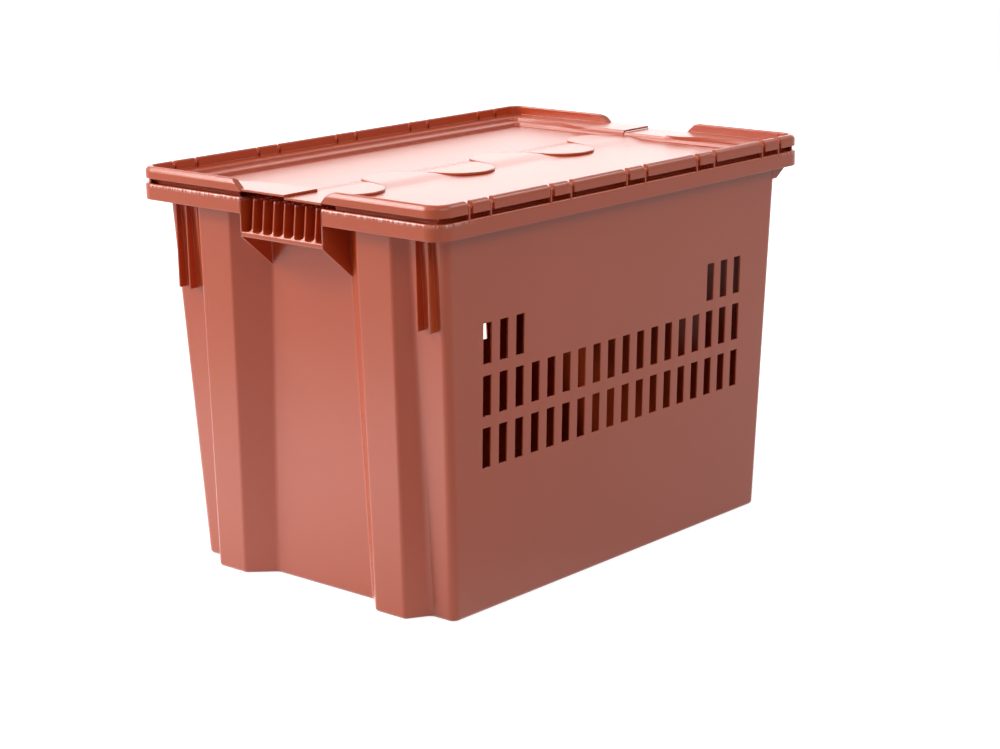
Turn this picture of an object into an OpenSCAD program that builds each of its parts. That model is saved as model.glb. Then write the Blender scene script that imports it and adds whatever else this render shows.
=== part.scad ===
// Vented produce bin: a one-piece moulded crate with drafted, fluted ends, and a lid of two interlocking flaps.
// Each flap turns on a steel rod that lies along a long side. Origin: centre of the base, +X along the length.

/* [Crate] */
// Overall length of crate and lid
crate_l = 600; // [590:5:640]
// Overall width of crate and lid
crate_w = 430; // [420:5:470]
// Height of the rim's top face above the ground
rim_z = 411; // [390:1:440]
// Wall thickness of the crate
wall = 2.5; // [2:0.1:3.2]
// Outer corner radius of rim and lid
corner_r = 20; // [16:1:22]
// Rounding between the floor and the walls
foot_r = 4; // [3.5:0.5:8]

/* [Rim] */
// Depth of the skirt round the rim
skirt_h = 14; // [10:1:18]
// Thickness of the rim's plate and skirt
rim_t = 2.5; // [2:0.1:3.2]

/* [Draft of the walls] */
// Long wall, inset from the rim's outer face at the base
side_base = 31.5; // [28:0.1:38]
// Long wall, inset under the rim
side_top = 16.5; // [12:0.1:20]
// Corner strip, inset from the rim's end face at the base
strip_base = 42; // [40:0.5:50]
// Corner strip, inset under the rim
strip_top = 25.5; // [24:0.5:30]
// Column front, inset at the base
column_base = 18.5; // [17:0.5:24]
// Column front, inset under the rim
column_top = 13.5; // [12:0.5:16]
// Centre panel, inset at the base
panel_base = 42; // [40:0.5:50]
// Centre panel, inset under the rim
panel_top = 40.5; // [38:0.5:44]

/* [Columns] */
// Half width of the centre panel at the base
panel_half_base = 71; // [66:1:76]
// Half width of the centre panel under the rim
panel_half_top = 55; // [50:1:58]
// Inner edge of the column's front at the base, from the centre line
column_in_base = 97; // [92:1:106]
// Inner edge of the column's front under the rim
column_in_top = 91; // [82:1:96]
// Outer edge of the column's front
column_out = 137.5; // [130:0.5:142]
// Foot of the column's outer flank, where the corner strip starts
strip_start = 152; // [148:1:156]
// Rounding of the column's edges
edge_r = 6; // [3:0.5:8]
// Fillet at the column's feet
root_r = 8; // [5:0.5:9]
// Rounding of the body's four upright corners
upright_r = 9; // [6:0.5:12]

/* [Handles] */
// Half width of the handle between its cheeks
handle_half = 58.5; // [54:0.5:62]
// Height of the handle's lip above the ground
lip_z = 372; // [355:1:378]
// Thickness of the handle's lip
lip_t = 5.5; // [4:0.5:7]
// Drop of the cheeks below the lip, where they meet the panel
cheek_drop = 36; // [25:1:45]
// Number of ribs in a handle
rib_count = 7; // [5:2:9]
// Spacing of the ribs
rib_pitch = 15; // [11:0.5:16]
// Thickness of ribs, cheeks and fins
rib_t = 2.4; // [2:0.1:3]
// Setback of the ribs behind the lip's edge
rib_setback = 3; // [1:0.5:5]
// Lean of the ribs' front edges, from foot to top
rib_lean = 4; // [0:0.5:6]

/* [Stacking fins] */
// Inner fin, from the centre line
fin_in = 164.5; // [162:0.5:170]
// Spacing of the two fins
fin_gap = 16; // [12:0.5:18]
// Depth of the fins' free edge, inset from the rim's end face
fin_inset = 20; // [18:0.5:23]
// Length of the fins below the rim's skirt
fin_l = 96; // [60:1:130]

/* [Vent slots] */
// Number of slot columns
slot_columns = 18; // [12:1:18]
// Spacing of the slot columns
slot_pitch = 24.5; // [20:0.5:26]
// Width of a slot
slot_w = 12; // [8:0.5:14]
// Height of a slot
slot_h = 41.5; // [30:0.5:46]
// Height of the lowest row's centre
slot_row_z = 173.3; // [150:1:190]
// Spacing of the rows
slot_row_pitch = 53.8; // [50:0.1:60]
// Slots at each end of the top row
slot_top_count = 3; // [0:1:6]
// Offset of the whole group along the wall
slot_offset = -3.3; // [-6:0.1:6]

/* [Lid] */
// Height of the lid's top edge above the crate's rim
lid_rise = 19; // [17:0.5:22]
// Height of the bead round the lid
bead_h = 11.6; // [10:0.2:12]
// Width of the bead
bead_w = 8; // [7.4:0.2:9]
// Wall thickness of the bead
bead_t = 2; // [1.5:0.1:2.2]
// Thickness of the flaps' skin
skin = 2.2; // [1.8:0.1:2.6]
// Drop from the bead's top to the upper ledge
ledge_drop = 10; // [8:0.5:11]
// Drop from the upper to the lower ledge
step_drop = 3.5; // [2:0.5:5]
// Drop from the lower ledge to the lid's floor
floor_drop = 4; // [3:0.5:5]
// Long side of the upper ledge, from the lid's outer face
ledge_side = 28; // [24:1:32]
// Long side of the lower ledge
floor_side = 46; // [40:1:52]
// End of the upper ledge, from the lid's end face
ledge_end = 35; // [33:1:40]
// End of the lid's floor
floor_end = 48; // [46:0.5:54]
// Half width of the end plateau at the lid's floor
plateau_half = 77; // [70:1:84]
// Half width of the end plateau at the upper ledge
plateau_flare = 107; // [98:1:116]
// Half width of the gap in the bead over a handle
bead_gap = 57; // [52:1:62]
// Setback of the lip over the handle from the lid's end face
nose_setback = 1.5; // [0.5:0.5:4]
// Level of the front flap's lips, from the upper ledge
front_lip = -1.7; // [-2.5:0.1:-1]
// Level of the back flap's lips, from the upper ledge
back_lip = 0.8; // [0.4:0.1:1.5]
// Where the flaps meet on the left-hand lip, from the centre line
seam_left = -5; // [-8:0.5:-2]
// Where the flaps meet on the right-hand lip
seam_right = 3; // [1:0.5:6]
// Clearance between the two flaps
seam_gap = 0.6; // [0.4:0.1:1]

/* [Fingers] */
// Fingers on each flap
finger_count = 3; // [2:1:4]
// Radius of a finger's tip
finger_r = 39; // [30:0.5:39]
// Reach of a finger past the seam
finger_reach = 43; // [40:0.5:46]
// Thickness of a finger
finger_t = 2.5; // [2:0.1:3]
// Length of the ramp at a finger's root
ramp_l = 28; // [20:1:36]

/* [Hinges] */
// Hinges along each long side
hinge_count = 5; // [3:2:5]
// Spacing of the hinges
hinge_pitch = 120; // [80:1:122]
// Width of the knuckle between its two ears
knuckle_w = 26; // [18:1:34]
// Width of the slit that an ear stands in
slit_w = 4.8; // [4.2:0.1:6]
// Thickness of an ear
ear_t = 2.5; // [2:0.1:3]
// Radius of the ear's rounded top
ear_r = 3.6; // [3.2:0.1:4]
// Height of the hinge line above the crate's rim
axis_rise = 13; // [12:0.5:14]
// Distance of the hinge line from the outer face
axis_inset = 4; // [3.8:0.1:4.4]
// Radius of the steel rod
rod_r = 1.5; // [1.2:0.1:1.6]
// Overhang of the rod past the outermost ears
rod_over = 6; // [3:0.5:8]
// Radial clearance of the rod in the ears
ear_clear = 0.05; // [0.02:0.01:0.1]
// Radial clearance of the rod in the knuckles
knuckle_clear = 0.08; // [0.02:0.01:0.1]

/* [Seating] */
// Gap between the lid's seat and the rim
seat_gap = 0.3; // [0.2:0.05:0.6]
// Thickness of the seat's skirt
seat_t = 2.2; // [1.8:0.1:2.6]
// Distance of the seat's skirt behind the bead
seat_back = 1; // [0.8:0.1:3]
// Corner radius of the seat's skirt
seat_r = 3; // [2.8:0.1:6]

/* [Hidden] */
$fn = 48;
eps = 0.01;
arc_steps = 4;
tip_steps = 16;
least_r = 3;
ledge_radii = [4, 4, 10];
floor_r = 6;
web_drop = 5;
end_web_drop = 16;
half_l = crate_l / 2;
half_w = crate_w / 2;
skirt_z = rim_z - skirt_h;
lid_z = rim_z + lid_rise;
axis_z = rim_z + axis_rise;
axis_y = half_w - axis_inset;
ledge_z = lid_z - ledge_drop;
step_z = ledge_z - step_drop;
floor_z = step_z - floor_drop;
finger_z = floor_z + seat_gap;
slit_x = knuckle_w / 2 + slit_w / 2;
ear_gap = seat_gap;
hinge_x = [for (i = [0:hinge_count - 1]) (i - (hinge_count - 1) / 2) * hinge_pitch];
rod_half = hinge_x[hinge_count - 1] + slit_x + slit_w / 2 + rod_over;
floor_half = half_l - floor_end;
finger_span = floor_half / finger_count / 2;
tip_r = min(finger_r, finger_span - least_r);
finger_y = finger_reach - tip_r;
plastic = [0.72, 0.4, 0.33];
steel = [0.66, 0.67, 0.68];

// Outline helpers: turns of a closed outline, its inset and its rounded corners
function at(list, i) = list[(i + len(list)) % len(list)];
function unit(v) = v / norm(v);
function left(v) = [-v[1], v[0]];
function turn(a, b) = atan2(a[0] * b[1] - a[1] * b[0], a * b);
function spun(v, a) = [v[0] * cos(a) - v[1] * sin(a), v[0] * sin(a) + v[1] * cos(a)];
function inset(pts, d) = [for (i = [0:len(pts) - 1])
    let (u = left(unit(pts[i] - at(pts, i - 1))), v = left(unit(at(pts, i + 1) - pts[i])))
    pts[i] + d * (u + v) / (1 + u * v)];
function corner(p, u, v, r, steps) =
    let (a = turn(u, v), side = sign(a), back = r * tan(abs(a) / 2), c = p - u * back + side * r * left(u))
    [for (k = [0:steps]) c + spun(-side * r * left(u), a * k / steps)];
function rounded(pts, radii, steps) = [for (i = [0:len(pts) - 1])
    each corner(pts[i], unit(pts[i] - at(pts, i - 1)), unit(at(pts, i + 1) - pts[i]), radii[i], steps)];

// A corner's radius once the outline is drawn in: outward corners tighten, inward corners open
function drawn_in(pts, radii, d) = [for (i = [0:len(pts) - 1])
    let (a = turn(pts[i] - at(pts, i - 1), at(pts, i + 1) - pts[i])) max(least_r, radii[i] - sign(a) * d)];

// The body's outline at a height, and drawn in by d
function drafted(base, top, z) = base + (top - base) * z / skirt_z;
function quarter(z) = [
    [half_l - drafted(panel_base, panel_top, z), drafted(panel_half_base, panel_half_top, z)],
    [half_l - drafted(column_base, column_top, z), drafted(column_in_base, column_in_top, z)],
    [half_l - drafted(column_base, column_top, z), column_out],
    [half_l - drafted(strip_base, strip_top, z), strip_start],
    [half_l - drafted(strip_base, strip_top, z), half_w - drafted(side_base, side_top, z)]
];
quarter_radii = [root_r, edge_r, edge_r, root_r, upright_r];
function flipped(pts, x, y) = [for (p = pts) [p[0] * x, p[1] * y]];
function backwards(list) = [for (i = [len(list) - 1:-1:0]) list[i]];
function all_round(q) = concat(q, backwards(flipped(q, -1, 1)), flipped(q, -1, -1), backwards(flipped(q, 1, -1)));
body_radii = concat(quarter_radii, backwards(quarter_radii), quarter_radii, backwards(quarter_radii));
function ring(z, d) =
    let (pts = all_round(quarter(z)))
    [for (p = rounded(inset(pts, d), drawn_in(pts, body_radii, d), arc_steps)) [p[0], p[1], z]];

// A closed skin through stacked level rings of equal length, with a fan of triangles at either end
module loft(rings) {
    n = len(rings[0]);
    last = (len(rings) - 1) * n;
    hub = last + n;
    walls = [for (k = [0:len(rings) - 2], i = [0:n - 1])
        let (a = k * n + i, b = k * n + (i + 1) % n)
        each [[a, a + n, b + n], [a, b + n, b]]];
    ends = [for (i = [0:n - 1]) each [[i, (i + 1) % n, hub], [last + (i + 1) % n, last + i, hub + 1]]];
    hubs = [[0, 0, rings[0][0][2]], [0, 0, rings[len(rings) - 1][0][2]]];
    polyhedron(concat([for (r = rings) each r], hubs), concat(walls, ends));
}

// The tub's solid form, drawn in by d on all sides, with its foot rounded
module tub(d, foot, top) {
    r = foot_r - d;
    bends = [0, 45, 90];
    loft(concat([for (a = bends) ring(foot + r * (1 - cos(a)), d + r * (1 - sin(a)))], [ring(top, d)]));
}

module round_plate(l, w, r) {
    square([l - 2 * r, w], center = true);
    square([l, w - 2 * r], center = true);
    for (x = [-1, 1], y = [-1, 1]) translate([x * (l / 2 - r), y * (w / 2 - r)]) circle(r);
}

module round_frame(outer, width) {
    difference() {
        round_plate(crate_l - 2 * outer, crate_w - 2 * outer, corner_r - outer);
        round_plate(crate_l - 2 * (outer + width), crate_w - 2 * (outer + width), corner_r - outer - width);
    }
}

module slab(z0, z1) {
    translate([0, 0, z0]) linear_extrude(z1 - z0) children();
}

// An outline drawn in X and Z, standing across Y
module upright(y, t) {
    translate([0, y + t / 2, 0]) rotate([90, 0, 0]) linear_extrude(t) children();
}

// An outline drawn in Y and Z, running along X
module along(x0, x1) {
    translate([x0, 0, 0]) rotate([90, 0, 90]) linear_extrude(x1 - x0) children();
}

function panel_x(z) = half_l - drafted(panel_base, panel_top, z);
function strip_x(z) = half_l - drafted(strip_base, strip_top, z);
function side_y(z) = half_w - drafted(side_base, side_top, z);

module rim() {
    slab(rim_z - rim_t, rim_z) round_plate(crate_l, crate_w, corner_r);
    slab(skirt_z, rim_z) round_frame(0, rim_t);
}

// The recess over a handle's lip, where the rim is open
module handle_recess() {
    translate([panel_x(rim_z), -handle_half, lip_z])
        cube([half_l - panel_x(rim_z) + 1, 2 * handle_half, rim_z - lip_z + 1]);
}

module handle() {
    into_wall = wall / 2;
    cheek_foot = lip_z - cheek_drop;
    for (y = [-1, 1]) upright(y * handle_half, rib_t)
        polygon([[half_l, rim_z], [half_l, lip_z], [panel_x(cheek_foot) - into_wall, cheek_foot],
            [panel_x(cheek_foot) - into_wall, rim_z]]);
    lip_x = panel_x(lip_z) - into_wall;
    translate([lip_x, -handle_half, lip_z]) cube([half_l - lip_x, 2 * handle_half, lip_t]);
    rib_x = half_l - rib_setback;
    for (i = [0:rib_count - 1]) upright((i - (rib_count - 1) / 2) * rib_pitch, rib_t)
        polygon([[lip_x, lip_z + lip_t / 2], [rib_x, lip_z + lip_t / 2], [rib_x - rib_lean, rim_z], [lip_x, rim_z]]);
}

module stacking_fins() {
    foot = skirt_z - fin_l;
    for (y = [-1, 1], k = [0, 1]) upright(y * (fin_in + k * fin_gap), rib_t)
        polygon([[strip_x(foot) - wall / 2, foot], [half_l - fin_inset, foot],
            [half_l - fin_inset, rim_z - rim_t / 2], [strip_x(foot) - wall / 2, rim_z - rim_t / 2]]);
}

// Small webs under the rim, across the long walls
module rim_webs() {
    wall_y = side_y(skirt_z) - wall / 2;
    for (y = [0, 1]) mirror([0, y, 0]) along(floor_half - rib_t, floor_half)
        polygon([[wall_y, skirt_z - web_drop], [wall_y + wall / 2, skirt_z - web_drop], [half_w - rim_t, skirt_z],
            [half_w - rim_t, rim_z - rim_t / 2], [wall_y, rim_z - rim_t / 2]]);
}

// Larger webs in line with the long walls, at the right-hand end
module end_webs() {
    inner = strip_x(skirt_z) - upright_r;
    for (y = [-1, 1]) upright(y * (side_y(skirt_z) - wall / 2), wall)
        polygon([[inner, skirt_z - end_web_drop], [strip_x(skirt_z), skirt_z - end_web_drop],
            [half_l - rim_t, skirt_z], [half_l - rim_t, rim_z - rim_t / 2], [inner, rim_z - rim_t / 2]]);
}

function slot_at(c) = slot_offset + (c - (slot_columns - 1) / 2) * slot_pitch;

module slots() {
    for (row = [0:2], c = [0:slot_columns - 1])
        if (row < 2 || c < slot_top_count || c >= slot_columns - slot_top_count)
            translate([slot_at(c), 0, slot_row_z + row * slot_row_pitch])
                cube([slot_w, crate_w + 2, slot_h], center = true);
}

// One hinge's two ears, each at the left of its slit
module ears() {
    for (s = [-1, 1]) translate([s * slit_x - slit_w / 2 + ear_gap, 0, 0]) {
        translate([0, -ear_r, rim_z - rim_t / 2]) cube([ear_t, 2 * ear_r, axis_rise + rim_t / 2]);
        translate([0, 0, axis_z]) rotate([0, 90, 0]) cylinder(r = ear_r, h = ear_t);
    }
}

module rod_bore(r) {
    for (y = [-1, 1]) translate([-half_l, y * axis_y, axis_z]) rotate([0, 90, 0]) cylinder(r = r, h = crate_l);
}

module crate_body() {
    color(plastic) difference() {
        union() {
            difference() {
                union() {
                    tub(0, 0, rim_z - rim_t / 2);
                    rim();
                    for (x = [0, 1]) mirror([x, 0, 0]) {
                        stacking_fins();
                        rim_webs();
                    }
                    end_webs();
                }
                for (x = [0, 1]) mirror([x, 0, 0]) handle_recess();
            }
            for (x = [0, 1]) mirror([x, 0, 0]) handle();
            for (x = hinge_x, y = [-1, 1]) translate([x, y * axis_y, 0]) ears();
        }
        tub(wall, wall, rim_z + 1);
        slots();
        rod_bore(rod_r + ear_clear);
    }
}

module hinge_rod(side) {
    color(steel) translate([-rod_half, side * axis_y, axis_z]) rotate([0, 90, 0]) cylinder(r = rod_r, h = 2 * rod_half);
}

module hinge_rod_front() {
    hinge_rod(-1);
}

module hinge_rod_back() {
    hinge_rod(1);
}

// The lid's two sunk outlines: the upper ledge's inner edge, and the floor
function ledge_quarter() = [
    [floor_half, plateau_half],
    [half_l - ledge_end, plateau_flare],
    [half_l - ledge_end, half_w - ledge_side]
];
function ledge_outline(grow) =
    let (pts = all_round(ledge_quarter()), half = concat(ledge_radii, backwards(ledge_radii)))
    rounded(inset(pts, -grow), drawn_in(pts, concat(half, half), -grow), arc_steps);

module floor_plate(grow) {
    round_plate(2 * (floor_half + grow), crate_w - 2 * (floor_side - grow), floor_r + grow);
}

// One flap's share of the lid: all that lies on its side of the seam; side is -1 at the front and 1 at the back
module own_side(side) {
    g = side * seam_gap / 2;
    far = side * crate_w;
    polygon([[-crate_l, seam_left + g], [-floor_half - g, seam_left + g], [-floor_half - g, g],
        [floor_half - g, g], [floor_half - g, seam_right + g], [crate_l, seam_right + g], [crate_l, far], [-crate_l, far]]);
}

// A finger's outline, pointing to +Y, with its straight flanks drawn on to the seam
module finger_shape(grow) {
    reach = norm([finger_span, finger_y]);
    flank = acos(tip_r / reach) - atan2(finger_y, finger_span);
    r = tip_r + grow;
    foot = (r + finger_y * sin(flank)) / cos(flank);
    polygon(concat([[-foot, 0]],
        [for (k = [0:tip_steps])
            let (a = 180 - flank - (180 - 2 * flank) * k / tip_steps) [r * cos(a), finger_y + r * sin(a)]],
        [[foot, 0]]));
}

// All fingers of the flap at that side: they point across the seam
module fingers(side, grow) {
    rotate(side > 0 ? 180 : 0) for (i = [0:finger_count - 1])
        translate([floor_half - (4 * i + 1) * finger_span, 0]) finger_shape(grow);
}

// The raised strip along the seam, which carries the fingers and makes room for the other flap's fingers
module seam_strip(side) {
    g = seam_gap / 2;
    tip = finger_reach + 1;
    intersection() {
        rotate(side > 0 ? 180 : 0) along(-floor_half, floor_half)
            polygon([[-ramp_l, floor_z - skin], [-ramp_l, floor_z], [-g, finger_z + finger_t], [tip, finger_z + finger_t],
                [tip, finger_z], [-g, finger_z], [-g, floor_z - skin]]);
        slab(floor_z - skin - 1, finger_z + finger_t + 1) difference() {
            union() {
                fingers(side, 0);
                translate([0, side * ramp_l / 2]) square([2 * floor_half, ramp_l], center = true);
            }
            fingers(-side, seam_gap);
        }
    }
}

// The bead: an upturned channel all round, open over the handles
module bead() {
    difference() {
        union() {
            slab(lid_z - bead_h, lid_z) round_frame(0, bead_t);
            slab(lid_z - bead_h, lid_z) round_frame(bead_w - bead_t, bead_t);
            slab(lid_z - bead_t, lid_z) round_frame(0, bead_w);
        }
        for (x = [-1, 1]) translate([x * (half_l - bead_w / 2), 0, 0]) along(-bead_w, bead_w)
            polygon([[-bead_gap, 0], [bead_gap, 0], [bead_gap, lid_z - bead_h], [bead_gap + bead_h, lid_z + eps],
                [-bead_gap - bead_h, lid_z + eps], [-bead_gap, lid_z - bead_h]]);
    }
}

// The seat: a skirt behind the bead that comes down on the rim, open over the handles
module seat() {
    back = bead_w + seat_back;
    inner = back + seat_t;
    slab(rim_z + seat_gap, ledge_z - skin / 2) difference() {
        round_plate(crate_l - 2 * back, crate_w - 2 * back, seat_r);
        round_plate(crate_l - 2 * inner, crate_w - 2 * inner, seat_r - seat_t);
        square([crate_l, 2 * (bead_gap + bead_h)], center = true);
    }
}

module pan() {
    slab(ledge_z - skin, ledge_z) difference() {
        round_plate(crate_l - 2 * (bead_w - bead_t), crate_w - 2 * (bead_w - bead_t), corner_r - bead_w + bead_t);
        polygon(ledge_outline(0));
        square([crate_l, 2 * bead_gap], center = true);
    }
    slab(step_z - skin, ledge_z) difference() {
        polygon(ledge_outline(skin));
        polygon(ledge_outline(0));
        square([crate_l, 2 * bead_gap], center = true);
    }
    slab(step_z - skin, step_z) difference() {
        polygon(ledge_outline(skin / 2));
        floor_plate(0);
        square([crate_l, 2 * bead_gap], center = true);
    }
    slab(floor_z - skin, step_z) difference() {
        floor_plate(skin);
        floor_plate(0);
        square([crate_l, 2 * bead_gap], center = true);
    }
    slab(floor_z - skin, floor_z) floor_plate(skin / 2);
}

// The lips over the handles, with their step down to the floor and a short wall at either side
module lips(level) {
    z = ledge_z + level;
    nose = half_l - nose_setback;
    side_z = min(z - skin, ledge_z - skin);
    for (x = [0, 1]) mirror([x, 0, 0]) {
        translate([floor_half, -bead_gap, z - skin]) cube([nose - floor_half, 2 * bead_gap, skin]);
        translate([floor_half, -bead_gap, floor_z - skin]) cube([skin, 2 * bead_gap, z - floor_z + skin]);
        for (y = [-1, 1]) translate([floor_half, y * bead_gap - skin / 2, side_z])
            cube([nose - floor_half, skin, max(z, ledge_z) - side_z]);
    }
}

module knuckle() {
    w = knuckle_w;
    translate([-w / 2, -axis_inset, lid_z - bead_h]) cube([w, bead_w, bead_h]);
}

module slit_cut() {
    for (s = [-1, 1]) translate([s * slit_x - slit_w / 2, -axis_inset - 1, rim_z])
        cube([slit_w, bead_w + 1 + seat_back / 2, ledge_z - skin - rim_z]);
    for (s = [-1, 1]) translate([s * slit_x - slit_w / 2, -axis_inset - 1, ledge_z - skin - eps])
        cube([slit_w, bead_w + 1 + eps, lid_z - ledge_z + skin + 1]);
}

module flap(side, level) {
    color(plastic) difference() {
        union() {
            intersection() {
                slab(rim_z - skirt_h, lid_z + 1) own_side(side);
                union() {
                    bead();
                    seat();
                    pan();
                    lips(level);
                }
            }
            for (x = hinge_x) translate([x, side * axis_y, 0]) mirror([0, side > 0 ? 1 : 0, 0]) knuckle();
            seam_strip(side);
        }
        for (x = hinge_x) translate([x, side * axis_y, 0]) mirror([0, side > 0 ? 1 : 0, 0]) slit_cut();
        rod_bore(rod_r + knuckle_clear);
    }
}

module lid_flap_front() {
    flap(-1, front_lip);
}

module lid_flap_back() {
    flap(1, back_lip);
}

crate_body();
hinge_rod_front();
hinge_rod_back();
lid_flap_front();
lid_flap_back();
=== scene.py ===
import math

import bmesh
import bpy
from mathutils import Matrix, Vector


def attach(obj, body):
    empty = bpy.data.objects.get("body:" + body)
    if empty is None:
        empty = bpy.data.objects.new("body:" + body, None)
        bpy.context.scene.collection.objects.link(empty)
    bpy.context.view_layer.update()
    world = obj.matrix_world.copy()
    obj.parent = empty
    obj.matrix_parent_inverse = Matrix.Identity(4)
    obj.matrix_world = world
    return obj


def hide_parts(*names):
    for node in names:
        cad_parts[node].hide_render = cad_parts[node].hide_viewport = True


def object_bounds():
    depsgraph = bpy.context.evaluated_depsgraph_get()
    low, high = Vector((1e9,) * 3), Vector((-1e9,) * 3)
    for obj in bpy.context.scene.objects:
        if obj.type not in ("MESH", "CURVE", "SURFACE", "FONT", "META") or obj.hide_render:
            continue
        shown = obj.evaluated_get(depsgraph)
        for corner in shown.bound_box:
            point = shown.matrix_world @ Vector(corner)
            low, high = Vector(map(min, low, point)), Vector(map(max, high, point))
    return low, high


# Vented produce bin with a two-flap lid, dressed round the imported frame. Its sizes are in millimetres, and
# those of the studio and the camera in metres
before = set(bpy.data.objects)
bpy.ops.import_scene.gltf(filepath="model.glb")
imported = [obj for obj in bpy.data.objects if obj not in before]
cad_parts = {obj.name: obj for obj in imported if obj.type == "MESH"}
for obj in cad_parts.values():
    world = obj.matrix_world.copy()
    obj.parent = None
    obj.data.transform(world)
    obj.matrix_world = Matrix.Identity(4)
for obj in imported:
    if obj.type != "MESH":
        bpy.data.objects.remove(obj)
cadBox = [list(corner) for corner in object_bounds()]
mm = 0.001

length = (cadBox[1][0] - cadBox[0][0]) / mm
width = (cadBox[1][1] - cadBox[0][1]) / mm
height = (cadBox[1][2] - cadBox[0][2]) / mm
halfLength = length / 2
halfWidth = width / 2

# The tub. Pairs are sizes at the base and at the skirt's foot. Insets count from the rim's outer faces.
# wallCorner is the outline's corner before each long wall, by side
tub = {
    "wall": 2.5,
    "rimTop": height - 19,
    "skirtBottom": height - 33,
    "sideInset": (31.5, 16.5),
    "stripInset": (42.0, 25.5),
    "columnInset": (18.5, 13.5),
    "panelInset": (42.0, 40.5),
    "panelHalf": (71.0, 55.0),
    "columnInner": (97.0, 91.0),
    "columnOuter": (137.5, 137.5),
    "stripStart": (152.0, 152.0),
    "radii": (8.0, 6.0, 6.0, 8.0, 9.0),
    "leastRadius": 3.0,
    "footRadius": 4.0,
    "arcSteps": 8,
    "bendSteps": 6,
    "lipRadius": 1.1,
    "belowPlate": 0.1,
    "wallCorner": {1: 4, -1: 14},
}

softEdge = (0.0, 0.29, 1.0)  # shares of a rounded edge's radius: its start, its middle and its end
smallArc = 3  # steps in a small rounding
lap = 1.0  # how far one form runs into the next
mergeReach = 0.002
creaseAngle = 50


def unit(v):
    size = math.hypot(v[0], v[1])
    return (v[0] / size, v[1] / size)


def leftOf(v):
    return (-v[1], v[0])


# The outline drawn in by a distance, with its corners kept sharp
def insetOutline(points, distance):
    drawn = []
    for i, p in enumerate(points):
        before, after = points[i - 1], points[(i + 1) % len(points)]
        u = leftOf(unit((p[0] - before[0], p[1] - before[1])))
        v = leftOf(unit((after[0] - p[0], after[1] - p[1])))
        k = distance / (1 + u[0] * v[0] + u[1] * v[1])
        drawn.append((p[0] + k * (u[0] + v[0]), p[1] + k * (u[1] + v[1])))
    return drawn


# One corner of an outline as an arc of steps + 1 points
def roundCorner(points, i, radius, steps):
    p, before, after = points[i], points[i - 1], points[(i + 1) % len(points)]
    u = unit((p[0] - before[0], p[1] - before[1]))
    v = unit((after[0] - p[0], after[1] - p[1]))
    turn = math.atan2(u[0] * v[1] - u[1] * v[0], u[0] * v[0] + u[1] * v[1])
    side = 1 if turn > 0 else -1
    back = radius * math.tan(abs(turn) / 2)
    normal = leftOf(u)
    out = side * radius
    centre = (p[0] - u[0] * back + out * normal[0], p[1] - u[1] * back + out * normal[1])
    arc = []
    for k in range(steps + 1):
        a = turn * k / steps
        spoke = (-out * normal[0], -out * normal[1])
        arc.append((
            centre[0] + spoke[0] * math.cos(a) - spoke[1] * math.sin(a),
            centre[1] + spoke[0] * math.sin(a) + spoke[1] * math.cos(a),
        ))
    return arc


# A sample of a path on an arc: the point, and the direction inwards
def onArc(centre, radius, out):
    return ((centre[0] + radius * out[0], centre[1] + radius * out[1]), (-out[0], -out[1]))


# A corner's radius after the outline is drawn in: outward corners tighten and inward ones open
def radiusDrawnIn(points, i, radius, distance):
    p, before, after = points[i], points[i - 1], points[(i + 1) % len(points)]
    cross = (p[0] - before[0]) * (after[1] - p[1]) - (p[1] - before[1]) * (after[0] - p[0])
    return max(tub["leastRadius"], radius - math.copysign(distance, cross))


# A quarter outline mirrored into all four, counter-clockwise
def allRound(quarter):
    return (
        list(quarter)
        + [(-x, y) for x, y in reversed(quarter)]
        + [(-x, -y) for x, y in quarter]
        + [(x, -y) for x, y in reversed(quarter)]
    )


def allRoundRadii(radii):
    back = list(reversed(radii))
    return (list(radii) + back) * 2


slots = {
    "columns": 18,
    "pitch": 24.5,
    "width": 12.0,
    "height": 41.5,
    "offset": -3.3,
    "rowHeights": (173.3, 227.1, 280.9),
    "fullRows": 2,
    "topRowEnds": 3,
    "chamfer": 0.5,
}


def slotPlace(column):
    return slots["offset"] + (column - (slots["columns"] - 1) / 2) * slots["pitch"]


def slotEdges():
    half = slots["width"] / 2 + slots["chamfer"]
    return [slotPlace(c) + side * half for c in range(slots["columns"]) for side in (-1, 1)]


def drafted(pair, z):
    return pair[0] + (pair[1] - pair[0]) * z / tub["skirtBottom"]


def panelX(z):
    return halfLength - drafted(tub["panelInset"], z)


def stripX(z):
    return halfLength - drafted(tub["stripInset"], z)


def sideY(z):
    return halfWidth - drafted(tub["sideInset"], z)


def tubCorners(z):
    columnX = halfLength - drafted(tub["columnInset"], z)
    quarter = [
        (panelX(z), drafted(tub["panelHalf"], z)),
        (columnX, drafted(tub["columnInner"], z)),
        (columnX, drafted(tub["columnOuter"], z)),
        (stripX(z), drafted(tub["stripStart"], z)),
        (stripX(z), sideY(z)),
    ]
    return allRound(quarter)


# The tub's outline at a height, drawn in by a distance, with a point at each slot edge on both long walls
def tubRing(z, distance):
    sharp = tubCorners(z)
    radii = allRoundRadii(tub["radii"])
    points = insetOutline(sharp, distance)
    ring = []
    for i in range(len(points)):
        ring += roundCorner(points, i, radiusDrawnIn(sharp, i, radii[i], distance), tub["arcSteps"])
        if i == tub["wallCorner"][1]:
            ring += [(x, points[i][1]) for x in reversed(slotEdges())]
        if i == tub["wallCorner"][-1]:
            ring += [(x, points[i][1]) for x in slotEdges()]
    return [(x, y, z) for x, y in ring]


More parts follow.
